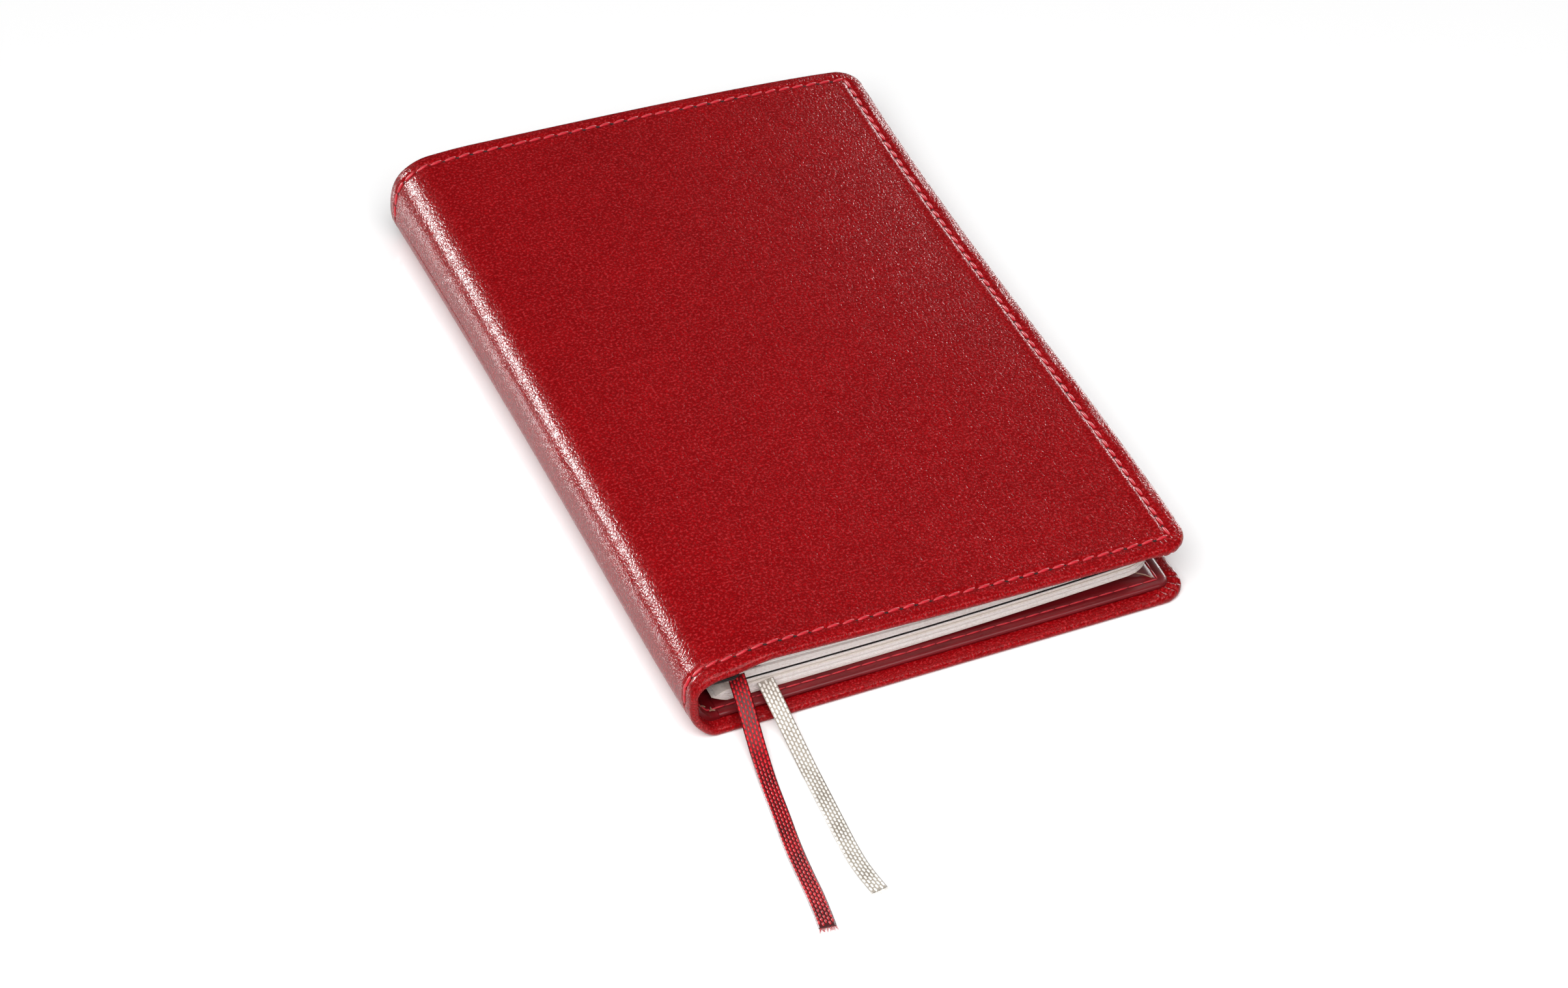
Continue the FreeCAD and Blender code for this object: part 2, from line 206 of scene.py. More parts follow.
def threads_tree():
    """Geometry nodes that lay one short thread at each point, along it and upright on it."""
    tree = bpy.data.node_groups.new("laid threads", "GeometryNodeTree")
    for name, kind in (("Geometry", "Geometry"), ("Length", "Float"), ("Width", "Float"),
                       ("Height", "Float"), ("Slant", "Float"), ("Wander", "Float"),
                       ("Seed", "Int"), ("Thread", "Material")):
        tree.interface.new_socket(name=name, in_out="INPUT", socket_type=f"NodeSocket{kind}")
    tree.interface.new_socket(name="Geometry", in_out="OUTPUT",
                              socket_type="NodeSocketGeometry")
    given = add(tree, "NodeGroupInput").outputs
    bead = add(tree, "GeometryNodeMeshUVSphere", {"Segments": 8, "Rings": 7, "Radius": 0.5})
    lying = add(tree, "GeometryNodeTransform", {"Geometry": bead.outputs["Mesh"],
                                                "Rotation": (0, math.pi / 2, 0)})
    size = add(tree, "ShaderNodeCombineXYZ", {"X": given["Length"], "Y": given["Width"],
                                              "Z": given["Height"]})
    thread = add(tree, "GeometryNodeTransform", {"Geometry": lying.outputs["Geometry"],
                                                 "Scale": size.outputs["Vector"]})
    along, up = (add(tree, "GeometryNodeInputNamedAttribute", {"Name": name},
                     data_type="FLOAT_VECTOR").outputs["Attribute"] for name in ("along", "up"))
    facing = add(tree, "FunctionNodeAlignRotationToVector", {"Vector": along}, axis="X")
    upright = add(tree, "FunctionNodeAlignRotationToVector",
                  {"Rotation": facing.outputs["Rotation"], "Vector": up}, axis="Z",
                  pivot_axis="X")
    drift = add(tree, "FunctionNodeRandomValue", {2: -1.0, 3: 1.0, "Seed": given["Seed"]},
                data_type="FLOAT")
    swing = calculate(tree, "MULTIPLY_ADD", drift.outputs[1], given["Wander"], given["Slant"])
    about_up = add(tree, "FunctionNodeAxisAngleToRotation",
                   {"Axis": (0, 0, 1), "Angle": swing})
    laid = add(tree, "FunctionNodeRotateRotation",
               {"Rotation": upright.outputs["Rotation"], "Rotate By": about_up.outputs[0]},
               rotation_space="LOCAL")
    placed = add(tree, "GeometryNodeInstanceOnPoints",
                 {"Points": given["Geometry"], "Instance": thread.outputs["Geometry"],
                  "Rotation": laid.outputs["Rotation"]})
    smooth = add(tree, "GeometryNodeSetShadeSmooth", {"Geometry": placed.outputs["Instances"]})
    real = add(tree, "GeometryNodeRealizeInstances", {"Geometry": smooth.outputs["Geometry"]})
    coloured = add(tree, "GeometryNodeSetMaterial",
                   {"Geometry": real.outputs["Geometry"], "Material": given["Thread"]})
    add(tree, "NodeGroupOutput", {"Geometry": coloured.outputs["Geometry"]})
    return tree


THREADS = threads_tree()


def lay_threads(name, points, along, up, material, length, width, height, slant=0.0,
                wander=0.05, seed=1):
    """Short threads at points, as one plain mesh."""
    made = mesh_object(name, points, [], material)
    store(made, "along", along)
    store(made, "up", up)
    laying = made.modifiers.new("laid threads", "NODES")
    laying.node_group = THREADS
    values = {"Length": length, "Width": width, "Height": height, "Slant": slant,
              "Wander": wander, "Seed": seed, "Thread": material}
    for socket in THREADS.interface.items_tree:
        if socket.in_out == "INPUT" and socket.name in values:
            laying[socket.identifier] = values[socket.name]
    view = bpy.context.evaluated_depsgraph_get()
    plain = bpy.data.meshes.new_from_object(made.evaluated_get(view),
                                            preserve_all_data_layers=True, depsgraph=view)
    made.modifiers.clear()
    made.data = plain
    plain.name = name
    return made


def mesh_of_lines(name, lines, resolution, diameter=0.0):
    """A mesh read from smooth NURBS lines: points along them, or round strands."""
    data = bpy.data.curves.new(name, "CURVE")
    data.dimensions = "3D"
    data.bevel_depth = diameter / 2
    data.bevel_resolution = 3
    data.resolution_u = resolution
    data.use_fill_caps = True
    for line in lines:
        spline = data.splines.new("NURBS")
        spline.points.add(len(line) - 1)
        for point, place in zip(spline.points, line):
            point.co = (*place, 1.0)
        spline.order_u = 3
        spline.use_endpoint_u = True
    carrier = bpy.data.objects.new(name, data)
    bpy.context.scene.collection.objects.link(carrier)
    view = bpy.context.evaluated_depsgraph_get()
    mesh = bpy.data.meshes.new_from_object(carrier.evaluated_get(view))
    bpy.data.objects.remove(carrier)
    return mesh


def frames_on(points):
    """Distance along a line at each point, and its direction, side and upward vectors."""
    run = np.r_[0, np.cumsum(np.linalg.norm(np.diff(points, axis=0), axis=1))]
    ahead = np.gradient(points, run, axis=0)
    ahead /= np.linalg.norm(ahead, axis=1)[:, None]
    side = np.cross((0, 0, 1), ahead)
    side /= np.linalg.norm(side, axis=1)[:, None]
    return run, ahead, side, np.cross(ahead, side)


def at_distance(where, run, values):
    return np.stack([np.interp(where, run, values[:, i]) for i in range(3)], axis=1)


def tilted(run, side, up, tilt, at_start):
    """Side and upward vectors of a ribbon that leaves the booklet tilted and then lies flat."""
    angle = math.radians(tilt) * np.clip(1 - run / at_start, 0, 1) ** 2
    c, s = np.cos(angle)[:, None], np.sin(angle)[:, None]
    return c * side + s * up, c * up - s * side


def woven_strip(name, node, body, points, frames, material, ground, seed):
    """A ribbon's ground and the rows of threads that float over it, along the given points."""
    run, ahead, side, up = frames
    across = np.linspace(-0.5, 0.5, 9)
    over = [(w, 1) for w in across] + [(w, -1) for w in across[::-1]]
    rows = np.stack([points + side * (w * RIBBON_WIDTH)
                     + up * (face * RIBBON_GROUND / 2 * (1 - abs(w) ** 3 * 4))
                     for w, face in over], axis=1)
    count, round_it = rows.shape[:2]
    index = np.arange(count * round_it).reshape(count, round_it)
    following = np.roll(index, -1, axis=1)
    faces = np.stack([index[:-1], index[1:], following[1:], following[:-1]], -1).reshape(-1, 4)
    faces = list(faces) + [index[0][::-1], index[-1]]
    strip = mesh_object(f"{name}_ground", rows.reshape(-1, 3), faces, ground)
    spots, aheads, ups = [], [], []
    for column in range(FLOAT_COLUMNS):
        offset = (column - (FLOAT_COLUMNS - 1) / 2) * RIBBON_WIDTH / (FLOAT_COLUMNS + 0.15)
        where = np.arange(0.5 + 0.5 * (column % 2), run[-1] / FLOAT_SPACING - 0.4) * FLOAT_SPACING
        spots.append(at_distance(where, run, points) + offset * at_distance(where, run, side))
        aheads.append(at_distance(where, run, ahead))
        ups.append(at_distance(where, run, up))
    floats = lay_threads(f"{name}_floats", np.concatenate(spots), np.concatenate(aheads),
                         np.concatenate(ups), material, FLOAT_LENGTH, FLOAT_WIDTH, FLOAT_HEIGHT,
                         wander=0.07, seed=seed)
    for piece in (strip, floats):
        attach(piece, body)
        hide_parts(node)
    return strip, floats


def ribbon(name, route, material, ground, tilt, seed):
    line = mesh_of_lines(f"{name}_line", [[Vector(place) * MM for place in route]], 40)
    points = np.array([v.co for v in line.vertices])
    run, ahead, side, up = frames_on(points)
    side, up = tilted(run, side, up, tilt, 25 * MM)
    strip, floats = woven_strip(name, name, "back_cover", points, (run, ahead, side, up),
                                material, ground, seed)
    spread = np.linspace(-0.48, 0.48, 15)
    luck = np.random.default_rng(seed)
    lean = luck.uniform(-0.5, 0.5, len(spread))[:, None] * side[-1]
    frayed = lay_threads(f"{name}_frayed_end",
                         points[-1] + spread[:, None] * RIBBON_WIDTH * side[-1]
                         + luck.uniform(-0.1, 0.5, len(spread))[:, None] * MM * ahead[-1],
                         ahead[-1] + lean, np.tile(up[-1], (len(spread), 1)), material,
                         1.5 * MM, 0.12 * MM, 0.12 * MM, wander=0.15, seed=seed)
    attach(frayed, "back_cover")
    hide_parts(name)


# Each ground takes a darker copy of its weave's colours: painted shade between the floats.
red_weave = woven_polyester("woven_red_polyester", "#dd0f22", "#b00a18")
red_ground_shade = woven_polyester("red_polyester_ground_painted_shade", "#6a060e", "#3c0408")
cream_weave = woven_polyester("woven_cream_polyester", "#fffdf9", "#efe9e0")
cream_ground_shade = woven_polyester("cream_polyester_ground_painted_shade", "#b5aca0", "#8f867b")
ribbon("ribbon_red", RED_ROUTE, red_weave, red_ground_shade, 12, 3)
ribbon("ribbon_cream", CREAM_ROUTE, cream_weave, cream_ground_shade, 9, 4)

# Outer leather --------------------------------------------------------------------------------
# One piece of vegetable-tanned cowhide, dyed red and lightly polished, that runs from the back
# cover round the spine onto the front. Its edges are skived, turned over the fibre board and
# gathered into pleats at the fore corners. Two meshes meet in mid-spine and bend over the folds.
LEATHER = 1.1 * MM
FIBRE_BOARD = 0.6 * MM
LINING = 0.9 * MM
HEM_WIDTH = 11.0 * MM
COVER_CORNER = 5.0 * MM
SPINE_FLAT = 0.9 * MM
BOTTOM_BEND = 7.0 * MM
FORE_HEIGHT = 13.4 * MM
SEAM_INSET = 3.2 * MM
STITCH_PITCH = 3.0 * MM
FINE_BORDER = 6.2 * MM                # meshes are fine this far in from a free edge
OFF_RIM = -2 * MM                     # marks what isn't on the fore edge's rim
SPINE_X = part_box("spine_outer_leather")[0].x
FORE_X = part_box("back_outer_leather")[1].x
HALF_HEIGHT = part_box("back_outer_leather")[1].y
SPINE_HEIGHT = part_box("front_outer_leather")[1].z
BEND = {"back": BOTTOM_BEND, "front": SPINE_HEIGHT - BOTTOM_BEND - SPINE_FLAT}
MID_SPINE = BOTTOM_BEND + SPINE_FLAT / 2
top_run = FORE_X - SPINE_X - BEND["front"]
top_fall = FORE_HEIGHT - MID_SPINE - SPINE_FLAT / 2
FRONT_SLOPE = math.atan2(top_run, top_fall) - math.acos(BEND["front"]
                                                        / math.hypot(top_run, top_fall))
TURN = {"back": math.pi / 2, "front": math.pi / 2 + FRONT_SLOPE}
STRAIGHT = {"back": FORE_X - SPINE_X - BOTTOM_BEND,
            "front": math.sqrt(top_run ** 2 + top_fall ** 2 - BEND["front"] ** 2)}
REACH = {half: SPINE_FLAT / 2 + BEND[half] * TURN[half] + STRAIGHT[half] for half in BEND}
SIDE = {"back": -1.0, "front": 1.0}


def smoothstep(x):
    x = np.clip(x, 0, 1)
    return x * x * (3 - 2 * x)


def settled(half, u, y):
    """How far the soft cover stands off its flat shape, across and upwards.

    The spine is pressed in a little below its shoulder, and slumps at the tail.
    """
    v = y / HALF_HEIGHT
    whole_until = 5 * MM if half == "back" else 1 * MM
    tail = np.exp(-(y + HALF_HEIGHT) / (15 * MM))
    tuck = ((1.2 + 0.8 * (1 - v ** 2) + 1.0 * tail)
            * (1 - smoothstep((u - whole_until) / (9 * MM))) * MM)
    if half == "back":
        return tuck, 0.0
    near_fore = np.exp(-(REACH[half] - u) / (27 * MM))
    fore = -1.8 - 4.9 * v + 1.2 * v ** 2 + 3.5 * v ** 3
    spine = 0.4 + 1.1 * v
    lift = smoothstep(u / (25 * MM)) * MM
    slump = (-2.1 * MM * tail * smoothstep(u / (8 * MM))
             * smoothstep((25 * MM - u) / (11 * MM)))
    return (tuck + lift * near_fore * fore * 0.17,
            slump + lift * (spine * (1 - near_fore) + fore * near_fore * 0.6))


def cover_point(half, a, y, depth):
    """Places in the cover, from the distance to its fore edge, the height and the depth."""
    u = REACH[half] - a
    side, bend, turn = SIDE[half], BEND[half], TURN[half]
    angle = np.clip((u - SPINE_FLAT / 2) / bend, 0, turn)
    after = np.maximum(0, u - SPINE_FLAT / 2 - bend * turn)
    flat = np.minimum(u, SPINE_FLAT / 2)
    x = SPINE_X + bend * (1 - np.cos(angle)) + after * math.sin(turn)
    z = MID_SPINE + side * (flat + bend * np.sin(angle) + after * math.cos(turn))
    off_x, off_z = settled(half, u, y)
    x = x + depth * np.cos(angle) + off_x
    z = z - side * depth * np.sin(angle) + off_z
    return np.stack([x, y + 0 * x, z], axis=-1)


def rounded(a, down):
    """Draws a square fore corner in to the cover's round one, from distances to its edges."""
    va, vd = np.maximum(0, COVER_CORNER - a), np.maximum(0, COVER_CORNER - down)
    far = np.hypot(va, vd)
    pull = 1 - np.maximum(va, vd) / np.where(far > 0, far, 1)
    return a + va * pull, down + vd * pull


def steps(start, end, fine, coarse, border):
    """Distances from start to end, close together up to the border and wider beyond it."""
    near = np.linspace(start, border, max(2, round((border - start) / fine) + 1))
    far = np.linspace(border, end, max(2, round((end - border) / coarse) + 1))
    return np.r_[near, far[1:]]


def stitch_count(run):
    return round(run / STITCH_PITCH)


def phase_along(half, a, down, y, inset):
    """Place along the seam in stitches: whole numbers are needle holes."""
    ends, fore = REACH[half] - inset, 2 * (HALF_HEIGHT - inset)
    at_end = (REACH[half] - a) / ends * stitch_count(ends)
    at_fore = (y + HALF_HEIGHT - inset) / fore * stitch_count(fore)
    return np.where(down < a, at_end, at_fore)


def hide(a, y):
    """Soft unevenness of the hide itself, long swells with smaller ones on them."""
    long = (np.sin(a / 0.019 + 1.3) * np.sin(y / 0.023 + 0.4)
            + 0.6 * np.sin(a / 0.011 - y / 0.017 + 2.0))
    short = np.sin(a / 0.0041 + 3 * np.sin(y / 0.013)) * np.sin(y / 0.0047 + 2 * np.sin(a / 0.009))
    return (0.07 * long + 0.012 * short) * MM


CREASES = ((6, 22, 18, 0.10), (3, 30, 13, 0.12), (8, 34, 9, 0.09), (2, 26, 3, 0.12),
           (5, 24, -3, 0.09), (12, 38, 15, 0.07), (3, 18, 23, 0.08), (10, 30, -9, 0.06))


def creases(a, y):
    """Faint wrinkles that run in from the middle of the front cover's fore edge."""
    depth = 0 * a
    for start, end, height, deep in CREASES:
        line = (height + 0.10 * (a / MM - start) + 0.8 * np.sin(a / MM / 4 + height)) * MM
        along = smoothstep((a / MM - start) / 5) * smoothstep((end - a / MM) / 9)
        depth = depth + deep * MM * along * np.exp(-((y - line) / (0.55 * MM)) ** 2)
    return depth


def leather_relief(half, a, down, y):
    """Depth of the seam's groove, needle holes and puckers below the outer face."""
    edge = np.minimum(a, down)
    off = (edge - SEAM_INSET) / MM
    phase = phase_along(half, a, down, y, SEAM_INSET)
    to_hole = np.abs(phase - np.round(phase)) * STITCH_PITCH / MM
    groove = 0.15 * np.exp(-(off / 0.45) ** 2)
    holes = 0.3 * np.exp(-(off / 0.5) ** 2 - (to_hole / 0.45) ** 2)
    swell = -0.10 * np.exp(-((off - 1.1) / 0.8) ** 2) - 0.13 * np.exp(-((off + 1.3) / 0.9) ** 2)
    pucker = 0.09 * np.exp(-((off + 1.0) / 0.55) ** 2) * np.cos(2 * math.pi * 3 * phase)
    relief = (groove + holes + swell + pucker * (to_hole > 0.3)) * MM
    if half == "back":
        return np.maximum(relief, 0)
    return relief + (hide(a, y) + creases(a, y)) * smoothstep((edge / MM - 1.5) / 6)


def pleats(a, down):
    """Height of the gathered folds where the hem turns round a fore corner."""
    va, vd = np.maximum(0, COVER_CORNER + 3 * MM - a), np.maximum(0, COVER_CORNER + 3 * MM - down)
    far = np.hypot(va, vd)
    bearing = np.arctan2(vd, va)
    inside = np.clip(far / (4 * MM) - 0.6, 0, 1) * (np.minimum(va, vd) > 0)
    return 0.45 * MM * inside * np.abs(np.sin(bearing * 15 + 0.5 * np.sin(bearing * 5))) ** 0.7


def quads(grid):
    """The faces between the points of a grid."""
    return np.stack([grid[:-1, :-1], grid[1:, :-1], grid[1:, 1:], grid[:-1, 1:]],
                    -1).reshape(-1, 4)


def outline(grid):
    """The points round the border of a grid, and the one that follows each."""
    loop = np.r_[grid[:-1, 0], grid[-1, :-1], grid[:0:-1, -1], grid[0, :0:-1]]
    return loop, np.roll(loop, -1)


def lay_skin(made, places):
    """Stores the surface's own coordinate, given for each vertex, as the UV map skin."""
    uv = made.data.uv_layers.new(name="skin")
    corners = np.empty(len(made.data.loops), np.int32)
    made.data.loops.foreach_get("vertex_index", corners)
    uv.data.foreach_set("uv", places[corners].astype(np.float32).ravel())


def turn_outwards(made, crisp=0, smooth_inside=False):
    """Turns a closed mesh's faces outwards, with crisp edges on its last few faces."""
    shell = bmesh.new()
    shell.from_mesh(made.data)
    shell.faces.ensure_lookup_table()
    ends = set(shell.faces[len(shell.faces) - crisp:])
    for face in ends:
        for side in face.edges:
            side.smooth = smooth_inside and all(other in ends for other in side.link_faces)
    bmesh.ops.recalc_face_normals(shell, faces=shell.faces[:])
    shell.to_mesh(made.data)
    shell.free()


def slab(name, half, inset, near, far, material, fine=0.9, coarse=3.0, first=0.0,
         near_relief=None, far_relief=None, rim_rows=5):
    """A closed layer of the cover with a round rim on its three free edges.

    near and far are the depths of its two faces, and first is where it starts from mid-spine.
    """
    rim = abs(far - near) / 2
    edge = inset + rim
    border = max(edge + 0.5 * MM, FINE_BORDER)
    a_lines = steps(edge, REACH[half] - first, fine * MM, coarse * MM, border)
    downs = steps(edge, HALF_HEIGHT, fine * MM, coarse * MM, border)
    y_lines = np.r_[downs - HALF_HEIGHT, HALF_HEIGHT - downs[-2::-1]]
    a, y = np.meshgrid(a_lines, y_lines, indexing="ij")
    down = HALF_HEIGHT - np.abs(y)
    sign = np.where(y < 0, -1.0, 1.0)
    plan_a, plan_down = rounded(a, down)
    plan_y = sign * (HALF_HEIGHT - plan_down)
    zero = 0 * a
    near_depth = near + (zero if near_relief is None else near_relief(a, down, y))
    far_depth = far + (zero if far_relief is None else far_relief(a, down))
    index = np.arange(a.size).reshape(a.shape)
    loop = np.r_[index[::-1, 0], index[0, 1:], index[1:, -1]]
    la, ld, ls = a.ravel()[loop], down.ravel()[loop], sign.ravel()[loop]
    va, vd = np.maximum(0, COVER_CORNER - la), np.maximum(0, COVER_CORNER - ld)
    at_end = (vd > 0) | (ld < edge + 0.01 * MM)
    points = [cover_point(half, plan_a, plan_y, near_depth).reshape(-1, 3)]
    skins = [np.stack([REACH[half] - plan_a, plan_y], -1).reshape(-1, 2)]
    edges = [np.where(a <= down, a + rim * (math.pi / 2 - 1), OFF_RIM).ravel()]
    rings = [loop]
    middle = (near + far) / 2
    near_loop, far_loop = near_depth.ravel()[loop], far_depth.ravel()[loop]
    for row in range(1, rim_rows):
        turn = math.pi * row / rim_rows
        level = edge - rim * math.sin(turn)
        shrink = (COVER_CORNER - level) / (COVER_CORNER - edge)
        corner = (va > 0) & (vd > 0)
        ra = np.where(corner, COVER_CORNER - va * shrink, np.where(at_end, la, level))
        rd = np.where(corner, COVER_CORNER - vd * shrink, np.where(at_end, level, ld))
        ra, rd = rounded(ra, rd)
        share = (1 - math.cos(turn)) / 2
        depth = near_loop * (1 - share) + far_loop * share
        points.append(cover_point(half, ra, ls * (HALF_HEIGHT - rd), depth))
        out = rim * (turn - math.sin(turn))
        skins.append(np.stack([REACH[half] - ra + out * ~at_end,
                               ls * (HALF_HEIGHT - rd + out * at_end)], -1))
        edges.append(np.where(la <= ld, rim * (math.pi / 2 - turn), OFF_RIM))
        rings.append(a.size + (row - 1) * len(loop) + np.arange(len(loop)))
    under = a.size + (rim_rows - 1) * len(loop) + index
    rings.append(under.ravel()[loop])
    points.append(cover_point(half, plan_a, plan_y, far_depth).reshape(-1, 3))
    skins.append(np.stack([REACH[half] - plan_a, plan_y], -1).reshape(-1, 2))
    edges.append(np.full(a.size, OFF_RIM))
    rim_grid = np.stack(rings)
    cut = np.stack([index[-1], under[-1]])
    faces = [*quads(index), *quads(under), *quads(rim_grid), *quads(cut),
             rim_grid[:, 0], rim_grid[:, -1]]
    made = mesh_object(name, np.concatenate(points), faces, material)
    store(made, "rim", np.concatenate(edges) / MM)
    lay_skin(made, np.concatenate(skins))
    turn_outwards(made, crisp=a.shape[1] + 1, smooth_inside=True)
    return made


def follow_cover(made, half, slot, *nodes):
    """Bakes a layer's placement into its mesh and hides the CAD parts it stands in for."""
    if half == "back":
        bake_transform(made)
    else:
        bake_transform(made)
    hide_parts(*nodes)


def skin_coordinate(tree):
    """The surface's own coordinate, in millimetres."""
    skin = add(tree, "ShaderNodeUVMap", uv_map="skin").outputs["UV"]
    return add(tree, "ShaderNodeMapping", {"Vector": skin, "Scale": (1 / MM, 1 / MM, 1 / MM)}
               ).outputs["Vector"]


def polished_cowhide():
    # Dyed, glazed cowhide: closed pebble grain about 0.5 mm wide, with painted shade in its
    # valleys, a satin coat, tiny light specks on the grain's tops as painted highlights, and a
    # pale beige line along the top of the fore edge's rounded rim.
    made, tree, shader = finish_of("glazed_red_cowhide", Roughness=0.24, IOR=1.5,
                                   Coat_Weight=0.06, Coat_Roughness=0.14,
                                   Specular_IOR_Level=0.12)
    skin = skin_coordinate(tree)
    warp = add(tree, "ShaderNodeTexNoise", {"Vector": skin, "Scale": 0.9, "Detail": 2.0})
    pushed = add(tree, "ShaderNodeVectorMath", {0: warp.outputs["Color"], 1: (0.7, 0.7, 0.0)},
                 operation="MULTIPLY")
    bent = add(tree, "ShaderNodeVectorMath", {0: skin, 1: pushed.outputs["Vector"]},
               operation="ADD")
    cells = add(tree, "ShaderNodeTexVoronoi", {"Vector": bent.outputs["Vector"], "Scale": 1.5},
                feature="DISTANCE_TO_EDGE")
    pebble = mapped(tree, cells.outputs["Distance"], end=0.25)
    fine, mottle = noise(tree, skin, 1.9, 1.5), noise(tree, skin, 0.35, 2.0)
    broad, rim_line_noise = noise(tree, skin, 0.05, 3.0), noise(tree, skin, 0.8, 3.0)
    grain = calculate(tree, "MULTIPLY_ADD", pebble, 0.35, fine)
    tone = mapped(tree, calculate(tree, "ADD", broad, mottle), 0.6, 1.4)
    body = mix(tree, tone, "#90050b", "#9f070e")
    shaded = mix(tree, 1.0, body, mapped(tree, pebble, low=0.62), blend_type="MULTIPLY")
    # Light pink specks on the grain's tops: painted highlights.
    flecked = mix(tree, mapped(tree, fine, 0.52, 0.68, high=0.32), shaded, "#e2444a")
    # A pale beige line along the top of the fore edge's rounded rim, broken up by noise.
    rim = add(tree, "ShaderNodeAttribute", attribute_name="rim").outputs["Fac"]
    level = calculate(tree, "ADD", rim, calculate(tree, "MULTIPLY_ADD", rim_line_noise, 0.8, -0.4))
    pale = calculate(tree, "MULTIPLY", mapped(tree, level, 1.0, 0.7, high=0.3),
                     mapped(tree, rim, 0.25, 0.5))
    bump = surface(tree, shader, mix(tree, pale, flecked, "#d98a72"), grain, 1.0, 0.07 * MM)
    tree.links.new(mapped(tree, mottle, 0.3, 0.7, 0.21, 0.28), shader.inputs["Roughness"])
    tree.links.new(bump, shader.inputs["Coat Normal"])
    return made


cowhide = polished_cowhide()
LEATHER_NODES = {"back": ("back_outer_leather", "spine_outer_leather"),
                 "front": ("front_outer_leather", "spine_outer_leather")}
HEM_DEPTH = LEATHER + FIBRE_BOARD


def hem_relief(a, down):
    """The turned hem with its pleats, and the step down to the bare leather inside it."""
    inside = np.minimum(a, down) > HEM_WIDTH
    return np.where(inside, -FIBRE_BOARD, pleats(a, down))


for half in ("back", "front"):
    outer = slab(f"{half}_leather", half, 0.0, 0.0, HEM_DEPTH, cowhide, fine=0.26, coarse=0.95,
                 near_relief=lambda a, down, y, half=half: leather_relief(half, a, down, y),
                 far_relief=hem_relief, rim_rows=8)
    follow_cover(outer, half, "red_leather", *LEATHER_NODES[half])

# Fibre board ----------------------------------------------------------------------------------
# Bonded leather fibre, pressed in sheets and laid inside the turned hem, keeps the covers flat.
# It is hidden between the outer leather and the linings.


def bonded_fibre():
    # Pressed leather fibre: tan, matt, flecked with darker fibres.
    made, tree, shader = finish_of("bonded_leather_fibre", Roughness=0.85)
    flecks = noise(tree, skin_coordinate(tree), 1.6, 4.0)
    tree.links.new(mix(tree, flecks, "#7d5a3c", "#a98560"), shader.inputs["Base Color"])
    return made


fibre = bonded_fibre()
CLEAR = 0.05 * MM
for half, nodes in (("back", ("back_stiffener", "spine_stiffener")),
                    ("front", ("front_stiffener", "spine_stiffener"))):
    board = slab(f"{half}_fibre_board", half, HEM_WIDTH + 0.6 * MM, LEATHER + CLEAR,
                 HEM_DEPTH - CLEAR, fibre, fine=2.0, coarse=3.0, rim_rows=2)
    follow_cover(board, half, "bonded_fibre", *nodes)

# Linings --------------------------------------------------------------------------------------
# Dark red split leather lines the spine, and a panel of it is sewn inside each cover as a pocket
# for the booklets' outer cards. Its seam shows as a thin red thread a little way in.
LINING_INSET = 2.6 * MM
PANEL_PROUD = 0.15 * MM
INNER_SEAM = 4.6 * MM
COVER_DEPTH = HEM_DEPTH + LINING
PANEL_START = {half: SPINE_FLAT / 2 + BEND[half] * TURN[half] + 1.5 * MM for half in BEND}


def split_leather():
    # Dyed split leather with a waxed face: darker and smoother than the hide, faintly streaked.
    made, tree, shader = finish_of("waxed_split_leather", Roughness=0.38, Coat_Weight=0.15,
                                   Coat_Roughness=0.3, Specular_IOR_Level=0.4)
    skin = skin_coordinate(tree)
    drawn = add(tree, "ShaderNodeMapping", {"Vector": skin, "Scale": (0.12, 1.0, 1.0)})
    streaks = noise(tree, drawn.outputs["Vector"], 0.6, 4.0)
    colour = mix(tree, mapped(tree, streaks, 0.3, 0.7), "#5c060c", "#80101a")
    height = calculate(tree, "MULTIPLY_ADD", streaks, 0.5, noise(tree, skin, 3.0, 3.0))
    surface(tree, shader, colour, height, 0.35, 0.06 * MM)
    return made


split = split_leather()


def lining_relief(a, down, y):
    """A shallow groove under the inner seam, as height off the lining's face."""
    off = (np.minimum(a, down) - INNER_SEAM) / MM
    return -0.16 * MM * np.exp(-(off / 0.5) ** 2) + 0.06 * MM * np.exp(-((off - 1.2) / 0.7) ** 2)


for half in ("back", "front"):
    panel = slab(f"{half}_pocket_panel_lining", half, LINING_INSET, COVER_DEPTH + PANEL_PROUD,
                 HEM_DEPTH, split, fine=0.3, coarse=1.6, first=PANEL_START[half],
                 near_relief=lining_relief)
    follow_cover(panel, half, "lining_leather", f"{half}_pocket_panel")


def spine_lining(half):
    """Half of the strip of lining that covers the inside of the spine, up to the panel."""
    whole = REACH[half]
    downs = steps(LINING_INSET, HALF_HEIGHT, 0.4 * MM, 2.5 * MM, FINE_BORDER)
    y_lines = np.r_[downs - HALF_HEIGHT, HALF_HEIGHT - downs[-2::-1]]
    a_lines = np.linspace(whole - PANEL_START[half], whole, 26)
    a, y = np.meshgrid(a_lines, y_lines, indexing="ij")
    down = HALF_HEIGHT - np.abs(y)
    inner = COVER_DEPTH + 0.15 * MM * (smoothstep((down - LINING_INSET) / MM) - 1)
    top = cover_point(half, a, y, inner).reshape(-1, 3)
    low = cover_point(half, a, y, HEM_DEPTH + 0 * a).reshape(-1, 3)
    index = np.arange(a.size).reshape(a.shape)
    loop, following = outline(index)
    walls = np.stack([loop, following, following + a.size, loop + a.size], -1)
    made = mesh_object(f"{half}_spine_lining", np.r_[top, low],
                       [*quads(index), *quads(index + a.size), *walls], split)
    lay_skin(made, np.tile(np.stack([whole - a, y], -1).reshape(-1, 2), (2, 1)))
    turn_outwards(made, crisp=len(walls))
    return made


for half in ("back", "front"):
    follow_cover(spine_lining(half), half, "lining_leather", "spine_lining")

